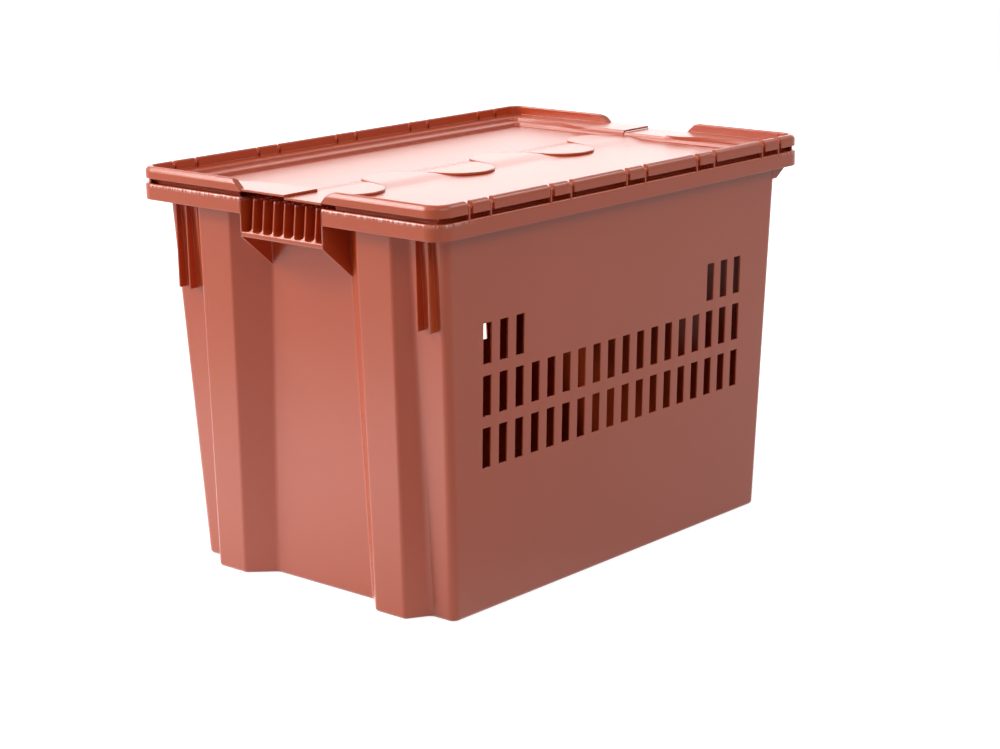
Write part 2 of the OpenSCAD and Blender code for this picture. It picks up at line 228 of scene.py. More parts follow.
# Adds rings of points to a mesh, with faces between each ring and the next. Skipped cells stay open
def addRings(bm, rings, closed=True, caps=True, skipped=()):
    rows = [[bm.verts.new(Vector(p) * mm) for p in ring] for ring in rings]
    count = len(rows[0])
    for j in range(len(rows) - 1):
        for i in range(count if closed else count - 1):
            if (j, i) in skipped:
                continue
            k = (i + 1) % count
            bm.faces.new((rows[j][i], rows[j][k], rows[j + 1][k], rows[j + 1][i]))
    if caps:
        bm.faces.new(list(reversed(rows[0])))
        bm.faces.new(rows[-1])
    return rows


# A flat outline given thickness, with rounded edges; place puts (u, v, depth) in space
def addPlate(bm, outline, thickness, edge, place):
    area = sum(a[0] * b[1] - a[1] * b[0] for a, b in zip(outline, outline[1:] + outline[:1]))
    if area < 0:
        outline = outline[::-1]
    rings = []
    for share in reversed(softEdge):
        rings.append([place(u, v, edge * (1 - share)) for u, v in insetOutline(outline, edge * share)])
    levels = [(share, thickness - edge * (1 - share)) for share in softEdge]
    for share, depth in levels:
        rings.append([place(u, v, depth) for u, v in insetOutline(outline, edge * share)])
    addRings(bm, rings)


# The foot's bend, from the flat underside to the wall: (height, inset) pairs
def footBend(radius, wall):
    steps = tub["bendSteps"]
    bend = []
    for k in range(steps + 1):
        a = math.radians(90 * k / steps)
        bend.append((wall + radius * (1 - math.cos(a)), wall + radius * (1 - math.sin(a))))
    return bend


def addTub(bm):
    wall, lip = tub["wall"], tub["lipRadius"]
    top = tub["rimTop"] - tub["belowPlate"]
    half = slots["height"] / 2 + slots["chamfer"]
    rowLevels = [z + side * half for z in slots["rowHeights"] for side in (-1, 1)]
    outside = footBend(tub["footRadius"], 0) + [(z, 0.0) for z in rowLevels] + [(top, 0.0)]
    inside = footBend(tub["footRadius"] - wall, wall) + [(z, wall) for z in rowLevels]
    inside += [(top - lip * (1 - share), wall - lip * share) for share in softEdge]
    rings = [tubRing(z, d) for z, d in outside] + [tubRing(z, d) for z, d in reversed(inside)]
    bend = len(footBend(tub["footRadius"], 0))
    perArc = tub["arcSteps"] + 1
    edgeCount = 2 * slots["columns"]
    starts = {side: (corner + 1) * perArc for side, corner in tub["wallCorner"].items()}
    starts[-1] += edgeCount
    cells = []
    for side, start in starts.items():
        for place in range(slots["columns"]):
            column = slots["columns"] - 1 - place if side > 0 else place
            for row in range(len(slots["rowHeights"])):
                atEnd = column < slots["topRowEnds"] or column >= slots["columns"] - slots["topRowEnds"]
                if row < slots["fullRows"] or atEnd:
                    outer = bend + 2 * row
                    inner = len(rings) - 2 - outer
                    cells.append((outer, inner, start + 2 * place))
    skipped = {(j, i) for outer, inner, i in cells for j in (outer, inner)}
    rows = addRings(bm, rings, skipped=skipped)
    for outer, inner, i in cells:
        addSlotWalls(bm, rows, outer, inner, i)


# The four walls of one slot, through the tub's wall, with chamfered edges on both faces
def addSlotWalls(bm, rows, outer, inner, i):
    chamfer = slots["chamfer"]
    faceOut = [rows[outer][i], rows[outer][i + 1], rows[outer + 1][i + 1], rows[outer + 1][i]]
    faceIn = [rows[inner + 1][i], rows[inner + 1][i + 1], rows[inner][i + 1], rows[inner][i]]
    middle = sum((v.co for v in faceOut), Vector()) / 4
    loops = [faceOut]
    for share, face in ((chamfer / tub["wall"], faceOut), (1 - chamfer / tub["wall"], faceOut)):
        loop = []
        for a, b in zip(faceOut, faceIn):
            p = a.co.lerp(b.co, share)
            p.x -= math.copysign(chamfer * mm, a.co.x - middle.x)
            p.z -= math.copysign(chamfer * mm, a.co.z - middle.z)
            loop.append(bm.verts.new(p))
        loops.append(loop)
    loops.append(faceIn)
    for a, b in zip(loops, loops[1:]):
        for k in range(4):
            n = (k + 1) % 4
            bm.faces.new((a[k], a[n], b[n], b[k]))


rim = {
    "corner": 20.0,
    "thickness": 2.5,
    "edgeRadius": 2.2,
    "skirtRound": 0.8,
    "innerRadius": 1.5,
    "crestFlat": 0.8,
    "crestSlope": 2.2,
    "lipRise": 1.5,
    "skirtDrop": 1.5,
    "plateReach": 10.0,
    "plateLap": 0.6,
    "handleHalf": 58.5,
    "cornerSteps": 10,
}
rimEdge = tub["rimTop"] + rim["lipRise"]


# The rounded rectangle of the rim on one long side, as samples from the right-hand end to the left-hand end
def rimPath(side, endY, corner, steps):
    samples = [((halfLength, side * endY), (-1, 0))]
    for turn in (1, -1):
        centre = (turn * (halfLength - corner), side * (halfWidth - corner))
        for k in range(steps + 1):
            a = math.radians(90 * (k if turn > 0 else steps - k) / steps)
            out = (turn * math.cos(a), side * math.sin(a))
            samples.append(onArc(centre, corner, out))
    samples.append(((-halfLength, side * endY), (1, 0)))
    return samples


# Sections of a profile set along a path; the profile is a list of (inset, height)
def alongPath(samples, profile):
    return [[(p[0] + n[0] * d, p[1] + n[1] * d, z) for d, z in profile] for p, n in samples]


# An arc of a profile between two directions, in degrees
def profileArc(centre, radius, start, end, steps=5):
    arc = []
    for k in range(steps + 1):
        a = math.radians(start + (end - start) * k / steps)
        arc.append((centre[0] + radius * math.cos(a), centre[1] + radius * math.sin(a)))
    return arc


def rimProfile():
    t, r, reach = rim["thickness"], rim["edgeRadius"], rim["plateReach"]
    lip, inner = rim["skirtRound"], rim["innerRadius"]
    top, bottom = tub["rimTop"], tub["skirtBottom"] - rim["skirtDrop"]
    profile = profileArc((lip, bottom + lip), lip, 270, 180, smallArc)
    profile += profileArc((r, rimEdge - r), r, 180, 90)
    profile += [(r + rim["crestFlat"], rimEdge), (r + rim["crestSlope"], top), (reach, top), (reach, top - t)]
    profile += profileArc((t + inner, top - t - inner), inner, 90, 180, smallArc)
    profile += profileArc((t - lip, bottom + lip), lip, 0, -90, smallArc)
    return profile


# Half of the flat plate between the rim's band and the tub, on one long side
def addRimPlate(bm, side):
    reach, top, t, inwards = rim["plateReach"], tub["rimTop"], rim["thickness"], rim["plateLap"]
    outer = [(p[0] + n[0] * reach, p[1] + n[1] * reach)
             for p, n in rimPath(side, rim["handleHalf"], rim["corner"], rim["cornerSteps"])]
    ring = [(x, y) for x, y, z in tubRing(top, inwards) if side * y > rim["handleHalf"]]
    if side < 0:
        ring = ring[::-1]
    right = [p for p in ring if p[0] > 0]
    left = [p for p in ring if p[0] <= 0]
    ordered = sorted(right, key=lambda p: math.atan2(side * p[1], p[0]))
    ordered += sorted(left, key=lambda p: math.atan2(side * p[1], p[0]))
    endX, endY = panelX(top) - inwards, side * rim["handleHalf"]
    inner = [(endX, endY)] + ordered + [(-endX, endY)]
    outline = outer + inner[::-1]
    addRings(bm, [[(x, y, z) for x, y in outline] for z in (top - t, top)])


handle = {
    "lipBottom": 372.0,
    "lipTop": 377.5,
    "cheekDrop": 36.0,
    "ribCount": 7,
    "ribPitch": 15.0,
    "ribThickness": 2.2,
    "ribSetback": 3.0,
    "ribLean": 4.0,
    "rootRadius": 4.0,
    "rootSteps": 6,
    "flareReach": 2.0,
    "lipRound": 1.2,
    "edge": 0.6,
}


# The two cheeks, the lip and the ribs at one end, which is 1 on the right and -1 on the left
def addHandle(bm, end):
    intoWall = tub["wall"] / 2
    top = tub["rimTop"]
    t, edge = handle["ribThickness"], handle["edge"]
    cheekFoot = handle["lipBottom"] - handle["cheekDrop"]
    backX = panelX(cheekFoot) - intoWall
    for side in (-1, 1):
        y0 = side * rim["handleHalf"] - t / 2
        outline = [(backX, cheekFoot)]
        outline += [(halfLength, handle["lipBottom"]), (halfLength, top - lap), (backX, top - lap)]
        addPlate(bm, outline, t, edge, lambda u, v, w: (end * u, y0 + w, v))
    half, r = rim["handleHalf"], handle["lipRound"]
    bottom, lipTop = handle["lipBottom"], handle["lipTop"]
    section = [(panelX(bottom) - intoWall, bottom)]
    section += profileArc((halfLength - r, bottom + r), r, 270, 360, smallArc)
    section += profileArc((halfLength - r, lipTop - r), r, 0, 90, smallArc)
    section += [(panelX(bottom) - intoWall, lipTop)]
    addRings(bm, [[(end * u, y, v) for u, v in section] for y in (-half, half)])
    root, steps, soft = handle["rootRadius"], handle["rootSteps"], softEdge[1]
    levels = [lipTop - lap]
    levels += [lipTop + root * (1 - math.cos(math.radians(90 * k / steps))) for k in range(steps + 1)]
    levels += [top - edge, top - tub["belowPlate"]]
    for i in range(handle["ribCount"]):
        y = (i - (handle["ribCount"] - 1) / 2) * handle["ribPitch"]
        rings = []
        for z in levels:
            rise = min(max(z - lipTop, 0), root)
            flare = root - math.sqrt(root * root - (root - rise) ** 2)
            h = t / 2 + flare
            lean = handle["ribLean"] * (z - lipTop) / (top - lipTop)
            front = halfLength - handle["ribSetback"] - lean + min(flare, handle["flareReach"])
            back = panelX(z) - intoWall
            e = min(edge, h / 2)
            plan = [(back, -h), (front - e, -h), (front - soft * e, -h + soft * e), (front, -h + e)]
            plan += [(front, h - e), (front - soft * e, h - soft * e), (front - e, h), (back, h)]
            rings.append([(end * x, y + w, z) for x, w in plan])
        addRings(bm, rings)


# The stacking fins beside the columns
fins = {
    "places": (164.5, 180.5),
    "thickness": 2.4,
    "freeEdge": 20.0,
    "bottom": 301.0,
    "footCut": 1.0,
    "edge": 0.6,
}


def addFins(bm, end):
    t, foot, footCut = fins["thickness"], fins["bottom"], fins["footCut"]
    back = stripX(foot) - tub["wall"] / 2
    front = halfLength - fins["freeEdge"]
    top = tub["rimTop"] - lap
    outline = [(back, foot), (front - footCut, foot), (front, foot + footCut), (front, top), (back, top)]
    for place in fins["places"]:
        for side in (-1, 1):
            y0 = side * place - t / 2
            addPlate(bm, outline, t, fins["edge"], lambda u, v, w: (end * u, y0 + w, v))


webs = {
    "thickness": 2.5,
    "drop": 5.0,
    "endDrop": 16.0,
    "place": 252.0,
    "footReach": 1.5,
    "intoSkirt": 0.5,
    "edge": 0.4,
}


# Small webs under the rim across the long walls, and larger ones in line with them at the right-hand end
def addWebs(bm):
    t, edge, into = webs["thickness"], webs["edge"], webs["intoSkirt"]
    bottom, top = tub["skirtBottom"], tub["rimTop"] - lap
    wallY = sideY(bottom) - tub["wall"] / 2
    foot = bottom - webs["drop"]
    skirt = halfWidth - rim["thickness"] + into
    back, front = wallY - lap, wallY + webs["footReach"]
    cross = [(back, foot), (front, foot), (skirt, bottom), (skirt, top), (back, top)]
    wallEnd = stripX(bottom)
    inner = wallEnd - tub["radii"][-1]
    foot = bottom - webs["endDrop"]
    skirt = halfLength - rim["thickness"] + into
    gusset = [(inner, foot), (wallEnd, foot), (skirt, bottom), (skirt, top), (inner, top)]
    for side in (-1, 1):
        for end in (-1, 1):
            x0 = end * (webs["place"] - t / 2) - t / 2
            addPlate(bm, cross, t, edge, lambda u, v, w: (x0 + w, side * u, v))
        y0 = side * wallY - t / 2
        addPlate(bm, gusset, t, edge, lambda u, v, w: (u, y0 + w, v))


hinges = {
    "places": tuple(120.0 * step for step in (-2, -1, 0, 1, 2)),
    "slitCentre": 15.4,
    "slitWidth": 4.8,
    "slitRelief": 1.6,
    "earThickness": 2.5,
    "earRadius": 3.6,
    "earEdge": 0.35,
    "earSteps": 12,
    "earGap": 0.3,
    "axisInset": 4.0,
    "axisHeight": height - 6,
    "rodRadius": 1.5,
    "rodHalf": 263.8,
    "rodEdge": 0.3,
    "rodSteps": 24,
}


# A hinge's two ears, which stand at the left of each slit
def addEars(bm, place):
    r, t = hinges["earRadius"], hinges["earThickness"]
    base = tub["rimTop"] - lap
    outline = [(-r, base), (r, base)] + profileArc((0, hinges["axisHeight"]), r, 0, 180, hinges["earSteps"])
    for side in (-1, 1):
        y = side * (halfWidth - hinges["axisInset"])
        for slit in (-1, 1):
            x0 = place + slit * hinges["slitCentre"] - hinges["slitWidth"] / 2 + hinges["earGap"]
            addPlate(bm, outline, t, hinges["earEdge"], lambda u, v, w: (x0 + w, y + u, v))


# Turns a mesh into an object with smooth faces, sharp creases and steady normals
def makePiece(name, bm, material, body, slot, *nodes):
    bmesh.ops.remove_doubles(bm, verts=bm.verts, dist=mergeReach * mm)
    bmesh.ops.recalc_face_normals(bm, faces=bm.faces)
    mesh = bpy.data.meshes.new(name)
    bm.to_mesh(mesh)
    bm.free()
    for face in mesh.polygons:
        face.use_smooth = True
    mesh.set_sharp_from_angle(angle=math.radians(creaseAngle))
    mesh.materials.append(material)
    piece = bpy.data.objects.new(name, mesh)
    bpy.context.scene.collection.objects.link(piece)
    normals = piece.modifiers.new("steady normals", "WEIGHTED_NORMAL")
    normals.keep_sharp = True
    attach(piece, body)
    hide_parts(*nodes)
    return piece


def makeCrate(material):
    bm = bmesh.new()
    addTub(bm)
    for side in (-1, 1):
        samples = rimPath(side, rim["handleHalf"], rim["corner"], rim["cornerSteps"])
        addRings(bm, alongPath(samples, rimProfile()))
        addRimPlate(bm, side)
    for end in (-1, 1):
        addHandle(bm, end)
        addFins(bm, end)
    addWebs(bm)
    for place in hinges["places"]:
        addEars(bm, place)
    return makePiece("crate_shell", bm, material, "crate", "crate_plastic", "crate_body")


# The lid, whose insets count from the rim's outer faces
lid = {
    "top": height,
    "beadBottom": height - 12.2,
    "beadWidth": 8.0,
    "beadWall": 2.0,
    "beadRadius": 1.6,
    "beadOuterRadius": 5.8,
    "knuckleProud": 0.4,
    "softEnd": 0.4,
    "skin": 2.2,
    "ledge": height - 10,
    "step": height - 13.5,
    "floor": height - 17.5,
    "ledgeSide": 28.0,
    "floorSide": 46.0,
    "ledgeEnd": 35.0,
    "floorEnd": 48.0,
    "plateauHalf": 77.0,
    "plateauFlare": 107.0,
    "noseHalf": 57.0,
    "noseSetback": 1.5,
    "noseLap": 0.2,
    "noseFlare": 1.5,
    "beadGapTop": 12.0,
    "seatGap": 0.3,
    "seatInset": 9.0,
    "seatCorner": 3.0,
    "seatLean": 1.2,
    "arcSteps": 6,
    "tabInset": 3.2,
    "tabThickness": 1.8,
    "tabDrop": 3.0,
    "tabArc": (15, 75),
    "seamGap": 0.3,
    "seamEnds": {1: 3.0, -1: -5.0},
    "lipLevels": {-1: -1.7, 1: 0.8},
}

# The bead's slope down to the handle: where it starts, how far its top runs on and how far its end sinks
slope = {
    "start": 24.0,
    "shares": (0.0, 0.35, 0.7, 0.9, 1.0),
    "crown": 3.0,
    "crownFrom": 0.7,
    "sink": 0.9,
    "sinkFrom": 0.7,
    "sinkAbove": 0.3,
}


# The bead's section, hollow underneath, or filled where it ends
def beadProfile(filled, proud=0.0, shrink=0.0):
    w, wall = lid["beadWidth"], lid["beadWall"]
    r, outer = lid["beadRadius"], lid["beadOuterRadius"]
    top, bottom = lid["top"] - shrink, lid["beadBottom"] + shrink
    out = lid["knuckleProud"] - proud + shrink
    back = w - shrink
    profile = [(out, bottom)] + profileArc((out + outer, top - outer), outer, 180, 90)
    profile += profileArc((back - r, top - r), r, 90, 0) + [(back, bottom)]
    if not filled:
        profile += [(w - wall, bottom), (w - wall, top - wall)]
        profile += [(out + wall, top - wall), (out + wall, bottom)]
    return profile


def sideSample(side, x):
    return ((x, side * halfWidth), (0, -side))


# One stretch of bead along a long side, closed and softened at both slits
def addBeadStretch(bm, side, x0, x1, proud):
    soft, plate = lid["softEnd"], lid["beadWall"]
    for x, inward in ((x0, 1), (x1, -1)):
        rings = alongPath([sideSample(side, x)], beadProfile(True, proud, soft))
        rings += alongPath([sideSample(side, x + inward * soft)], beadProfile(True, proud))
        rings += alongPath([sideSample(side, x + inward * plate)], beadProfile(True, proud))
        addRings(bm, rings)
    middle = [sideSample(side, x0 + plate), sideSample(side, x1 - plate)]
    addRings(bm, alongPath(middle, beadProfile(proud > 0, proud)))


# The bead from the last slit round a corner to the handle, where it slopes down
def addBeadEnd(bm, side, end, x):
    soft, plate = lid["softEnd"], lid["beadWall"]
    top, bottom, nose = lid["top"], lid["beadBottom"], lid["noseHalf"]
    rings = alongPath([sideSample(side, x)], beadProfile(True, 0, soft))
    rings += alongPath([sideSample(side, x + end * soft)], beadProfile(True))
    rings += alongPath([sideSample(side, x + end * plate)], beadProfile(True))
    addRings(bm, rings)
    corner, steps = rim["corner"], rim["cornerSteps"]
    path = [sideSample(side, x + end * plate)]
    centre = (end * (halfLength - corner), side * (halfWidth - corner))
    for k in range(steps + 1):
        a = math.radians(90 - 90 * k / steps)
        out = (end * math.cos(a), side * math.sin(a))
        path.append(onArc(centre, corner, out))
    startY = nose + slope["start"]
    path.append(((end * halfLength, side * startY), (-end, 0)))
    addRings(bm, alongPath(path, beadProfile(False)))
    crownFrom, sinkFrom = slope["crownFrom"], slope["sinkFrom"]
    rings = []
    for share in slope["shares"]:
        sunk = slope["sink"] * max(0, share - sinkFrom) / (1 - sinkFrom)
        ring = []
        for d, z in beadProfile(True):
            up = (z - bottom) / (top - bottom)
            crown = slope["crown"] * (max(0, up - crownFrom) / (1 - crownFrom)) ** 2
            endY = nose + lid["beadGapTop"] * up + crown
            y = startY + (endY - startY) * share
            sink = sunk * max(0, up - slope["sinkAbove"])
            ring.append((end * (halfLength - d), side * y, z - sink))
        rings.append(ring)
    addRings(bm, rings)


# Where the two flaps meet along the lips, seen from one flap
def seamY(side, end):
    return lid["seamEnds"][end] + side * lid["seamGap"]


# The steps of a flap's pan. drafts are the slopes' insets at four levels going down. straight is a place
# on the straight runs beside a corner
pan = {
    "edge": 0.9,
    "ledgeRun": 3.0,
    "ledgeCorner": 10.0,
    "floorCorner": 6.0,
    "fillet": 0.5,
    "drafts": (0.3, 0.4, 0.8, 1.3),
    "draftEase": 0.05,
    "footInset": 0.9,
    "straight": 100.0,
    "mergeReach": 0.01,
    "downward": -0.5,
}


# One contour of a flap's pan, from the seam on the right-hand end to the seam on the left-hand end.
# near and far are the end's x inside and outside the plateau's flare, and sideAt is y on the long side
def panContour(side, near, far, sideAt, radius, z, nose=None):
    share = (z - lid["floor"]) / (lid["ledge"] - lid["floor"])
    dip = lid["lipLevels"][side] * share
    points = []
    for end in (1, -1):
        noseX = near if nose is None else nose
        corner = [(far, pan["straight"]), (far, sideAt), (pan["straight"], sideAt)]
        arc = roundCorner(corner, 1, radius, lid["arcSteps"])
        half = [
            (noseX, None, z + dip),
            (noseX, lid["noseHalf"] - lid["noseLap"], z + dip),
            (near, lid["noseHalf"] + lid["noseFlare"], z),
            (near, lid["plateauHalf"], z),
            (far, lid["plateauFlare"], z),
        ]
        half += [(x, y, z) for x, y in arc]
        placed = []
        for x, y, level in half:
            placed.append((end * x, seamY(side, end) if y is None else side * y, level))
        points += placed if end > 0 else placed[::-1]
    return points


def addPan(bm, side):
    e, fillet, foot, run = pan["edge"], pan["fillet"], pan["footInset"], pan["ledgeRun"]
    ledge, step, floor = lid["ledge"], lid["step"], lid["floor"]
    inner = lid["beadWidth"]
    bead = halfLength - inner
    beadY = halfWidth - inner
    corner = rim["corner"] - inner
    nose = halfLength - lid["noseSetback"]
    rings = [
        panContour(side, bead + lap, bead + lap, beadY + lap, corner, ledge, nose),
        panContour(side, bead - run, bead - run, beadY - run, corner - run, ledge, bead - run),
    ]
    plateau = halfLength - lid["floorEnd"]
    high, middle, low, lowest = (plateau - draft for draft in pan["drafts"])
    slight, some = pan["drafts"][:2]
    ledgeX = halfLength - lid["ledgeEnd"]
    ledgeY = halfWidth - lid["ledgeSide"]
    corner = pan["ledgeCorner"]
    for share in softEdge:
        out = e * (1 - share)
        rings.append(panContour(side, plateau + out, ledgeX + out, ledgeY + out, corner, ledge - e * share))
    rings.append(panContour(side, high, ledgeX - slight, ledgeY - slight, corner, step + fillet))
    rings.append(panContour(side, middle, ledgeX - foot, ledgeY - foot, corner - fillet, step))
    floorY = halfWidth - lid["floorSide"]
    corner = pan["floorCorner"]
    for share in softEdge:
        out = e * (1 - share)
        near = middle - pan["draftEase"] * share
        rings.append(panContour(side, near, middle + out, floorY + out, corner, step - e * share))
    rings.append(panContour(side, low, low, floorY - some, corner, floor + fillet))
    rings.append(panContour(side, lowest, lowest, floorY - foot, corner - fillet, floor))
    top = bmesh.new()
    last = addRings(top, rings, closed=False, caps=False)[-1]
    seam = [top.verts.new(Vector((last[k].co.x, side * lid["seamGap"] * mm, floor * mm))) for k in (-1, 0)]
    top.faces.new(last[1:-1] + seam)
    bmesh.ops.remove_doubles(top, verts=top.verts, dist=pan["mergeReach"] * mm)
    bmesh.ops.recalc_face_normals(top, faces=top.faces)
    for face in top.faces:
        if face.normal.z < pan["downward"]:
            face.normal_flip()
    mesh = bpy.data.meshes.new("pan")
    top.to_mesh(mesh)
    top.free()
    sheet = bpy.data.objects.new("pan", mesh)
    bpy.context.scene.collection.objects.link(sheet)
    thick = sheet.modifiers.new("thickness", "SOLIDIFY")
    thick.thickness = lid["skin"] * mm
    thick.offset = -1
    thick.use_even_offset = True
    depsgraph = bpy.context.evaluated_depsgraph_get()
    bm.from_mesh(bpy.data.meshes.new_from_object(sheet.evaluated_get(depsgraph)))
    bpy.data.objects.remove(sheet)


fingers = {
    "count": 3,
    "radius": 39.0,
    "reach": 43.0,
    "thickness": 2.5,
    "lift": 0.3,
    "sunk": 0.1,
    "ramp": 42.0,
    "edge": 0.8,
    "rampSteps": 12,
    "flankSteps": 8,
    "tipSteps": 14,
    "columns": 10,
}


def fingerHalfWidth(y, radius, span, centre, tilt):
    if y > centre + radius * math.sin(tilt):
        return math.sqrt(max(radius * radius - (y - centre) ** 2, 0))
    return (radius + (centre - y) * math.sin(tilt)) / math.cos(tilt)


# One finger with its root, which widens between the other flap's fingers and rises from the floor in a ramp
def addFinger(bm, side, place, span, limit):
    r = fingers["radius"]
    centre = fingers["reach"] - r
    tilt = math.acos(r / math.hypot(span, centre)) - math.atan2(centre, span)
    edge, ramp, gap = fingers["edge"], fingers["ramp"], lid["seamGap"]
    underZ = lid["floor"] + fingers["lift"]
    topZ = underZ + fingers["thickness"]
    foot = lid["floor"] - fingers["sunk"]
    rampSteps, flankSteps, tipSteps = fingers["rampSteps"], fingers["flankSteps"], fingers["tipSteps"]
    rows = []
    for k in range(rampSteps + 1):
        rows.append(("root", -ramp + ramp * k / rampSteps))
    for k in range(1, flankSteps):
        rows.append(("flank", (centre + r * math.sin(tilt)) * k / flankSteps))
    for k in range(tipSteps + 1):
        rows.append(("tip", tilt + (math.pi / 2 - tilt) * k / tipSteps))

    def outlinePoint(kind, value, hand, draw):
        if kind == "tip":
            return (hand * (r - draw) * math.cos(value), centre + (r - draw) * math.sin(value))
        if kind == "flank":
            w = fingerHalfWidth(value, r - draw, span, centre, tilt)
            return (hand * w, value)
        w = 2 * span - fingerHalfWidth(-value, r + gap * 2 + draw, span, centre, tilt)
        if -hand * side * limit > 0:
            w = min(w, span - gap - draw)
        return (hand * w, value)

    def levelAt(y):
        share = min(max((y + ramp) / ramp, 0), 1)
        return foot + (topZ - foot) * share * share * (3 - 2 * share)

    columns = fingers["columns"]
    shown = []
    for kind, value in rows:
        line = []
        for hand in (-1, 1):
            points = []
            for share in softEdge:
                x, y = outlinePoint(kind, value, hand, edge * share)
                points.append((x, y, levelAt(y) - edge * (1 - share)))
            x, y = outlinePoint(kind, value, hand, 0)
            points.insert(0, (x, y, underZ if y >= 0 else lid["floor"] - lap))
            line.append(points)
        left, right = line[0], line[1][::-1]
        inside = []
        for k in range(1, columns):
            share = k / columns
            inside.append(tuple(left[-1][a] + (right[0][a] - left[-1][a]) * share for a in range(3)))
        shown.append(left + inside + right)
    flip = 1 if side < 0 else -1
    rings = [[(place + flip * x, flip * y, z) for x, y, z in row] for row in shown]
    addRings(bm, rings)


# The seat's skirt, which comes down on the rim behind the bead, in one run from handle to handle,
# and the tab that closes the gap at one corner
def addSeat(bm, side):
    inset, t, corner = lid["seatInset"], lid["skin"], lid["seatCorner"]
    bottom, top = tub["rimTop"] + lid["seatGap"], lid["ledge"] - lid["skin"] / 2
    lean, steps = lid["seatLean"], lid["arcSteps"]
    profile = [(lean, bottom), (0, top), (t, top), (t + lean, bottom)]
    handleEnd = side * (lid["noseHalf"] + lid["beadGapTop"])
    path = [((halfLength - inset, handleEnd), (-1, 0))]
    for turn in (1, -1):
        centre = (turn * (halfLength - inset - corner), side * (halfWidth - inset - corner))
        for k in range(steps + 1):
            a = math.radians(90 * (k if turn > 0 else steps - k) / steps)
            path.append(onArc(centre, corner, (turn * math.cos(a), side * math.sin(a))))
    path.append(((inset - halfLength, handleEnd), (1, 0)))
    addRings(bm, alongPath(path, profile))
    inset, t, outer = lid["tabInset"], lid["tabThickness"], rim["corner"]
    tabTop = lid["top"] - lid["tabDrop"]
    start, end = lid["tabArc"]
    profile = [(inset, bottom), (inset, tabTop), (inset + t, tabTop), (inset + t, bottom)]
    centre = (-side * (halfLength - outer), side * (halfWidth - outer))
    path = []
    for k in range(steps + 1):
        a = math.radians(start + (end - start) * k / steps)
        path.append(onArc(centre, outer, (-side * math.cos(a), side * math.sin(a))))
    addRings(bm, alongPath(path, profile))


# The x of every slit's two edges along a long side, from left to right. The front flap's slits are wider
def slitEdges(side):
    relief = hinges["slitRelief"] if side < 0 else 0
    edges = []
    for place in hinges["places"]:
        for slit in (-1, 1):
            for half in (-1, 1):
                edge = place + slit * hinges["slitCentre"] + half * hinges["slitWidth"] / 2
                edges.append(edge + (relief if half > 0 else 0))
    return edges


# A flap. Its fingers stand four spans apart, and the two flaps' fingers take turns
def makeFlap(side, name, material, body, node):
    bm = bmesh.new()
    edges = slitEdges(side)
    for k, (x0, x1) in enumerate(zip(edges[1:-1:2], edges[2:-1:2])):
        addBeadStretch(bm, side, x0, x1, lid["knuckleProud"] if k % 2 == 0 else 0.0)
    addBeadEnd(bm, side, -1, edges[0])
    addBeadEnd(bm, side, 1, edges[-1])
    addSeat(bm, side)
    addPan(bm, side)
    floorX = halfLength - lid["floorEnd"]
    span = floorX / fingers["count"] / 2
    outward = 1 if side < 0 else -1
    for i in range(fingers["count"]):
        place = outward * (floorX - (4 * i + 1) * span)
        addFinger(bm, side, place, span, outward if i == 0 else 0)
    return makePiece(name, bm, material, body, "lid_plastic", node)


def makeRod(side, name, material, node):
    r, half, edge, steps = hinges["rodRadius"], hinges["rodHalf"], hinges["rodEdge"], hinges["rodSteps"]
    y, z = side * (halfWidth - hinges["axisInset"]), hinges["axisHeight"]
    rings = []
    for x, radius in ((-half, r - edge), (-half + edge, r), (half - edge, r), (half, r - edge)):
        ring = []
        for k in range(steps):
            a = math.tau * k / steps
            ring.append((x, y + radius * math.cos(a), z + radius * math.sin(a)))
        rings.append(ring)
    bm = bmesh.new()
    addRings(bm, rings)
    return makePiece(name, bm, material, "crate", "rod_steel", node)


# sRGB hex to the linear colour that a shader socket takes
def colour(hexCode):
    channels = [int(hexCode[k:k + 2], 16) / 255 for k in (0, 2, 4)]
    return [c / 12.92 if c <= 0.04045 else ((c + 0.055) / 1.055) ** 2.4 for c in channels] + [1.0]


# Adds a node, sets its properties and inputs, and links what is given as a socket
def addNode(tree, kind, settings=None, inputs=None):
    node = tree.nodes.new(kind)
    for key, value in (settings or {}).items():
        setattr(node, key, value)
    for key, value in (inputs or {}).items():
        if isinstance(value, bpy.types.NodeSocket):
            tree.links.new(value, node.inputs[key])
        else:
            node.inputs[key].default_value = value
    return node


def newMaterial(name):
    material = bpy.data.materials.new(name)
    material.use_nodes = True
    material.node_tree.nodes.clear()
    return material, material.node_tree


# Injection-moulded polyethylene: a waxy, slightly uneven gloss, IOR 1.54, roughness 0.2 to 0.4. The clouds in
# its colour are about 170 mm across, the flow marks 55 mm, the grain 1 mm and the pale streaks on the rim
# ends, part scuff and part painted highlight, 4 mm
mouldedPlastic = {
    "colour": "c44f23",
    "shade": "bd4a20",
    "roughness": 0.27,
    "ior": 1.54,
    "cloudScale": 6.0,
    "flowScale": 18.0,
    "flowStrength": 0.25,
    "flowDepth": 1.2,
    "grainScale": 900.0,
    "grainStrength": 0.06,
    "grainDepth": 0.1,
    "cornerRadius": 0.7,
    # near-white colour of the painted highlight streaks on the rim ends, which also stand for scuffs
    "scuffAndHighlight": "efd6d0",
    "scuffHighlightScale": 260.0,
    "scuffHighlightStretch": 0.12,
    "scuffHighlightStreak": (0.46, 0.66),
    "scuffHighlightHeights": (rimEdge - 5.0, rimEdge - 1.0),
    "scuffHighlightTop": rimEdge + 0.02,
    "scuffHighlightEnd": (halfLength - 60.0, halfLength - 10.0),
    "scuffHighlightTilt": (0.4, 0.75),
}


# A value brought from one range to another
def remap(tree, value, span, settings=None, ends=(0.0, 1.0)):
    return addNode(tree, "ShaderNodeMapRange", settings, {
        "Value": value, "From Min": span[0], "From Max": span[1],
        "To Min": ends[0], "To Max": ends[1]}).outputs["Result"]
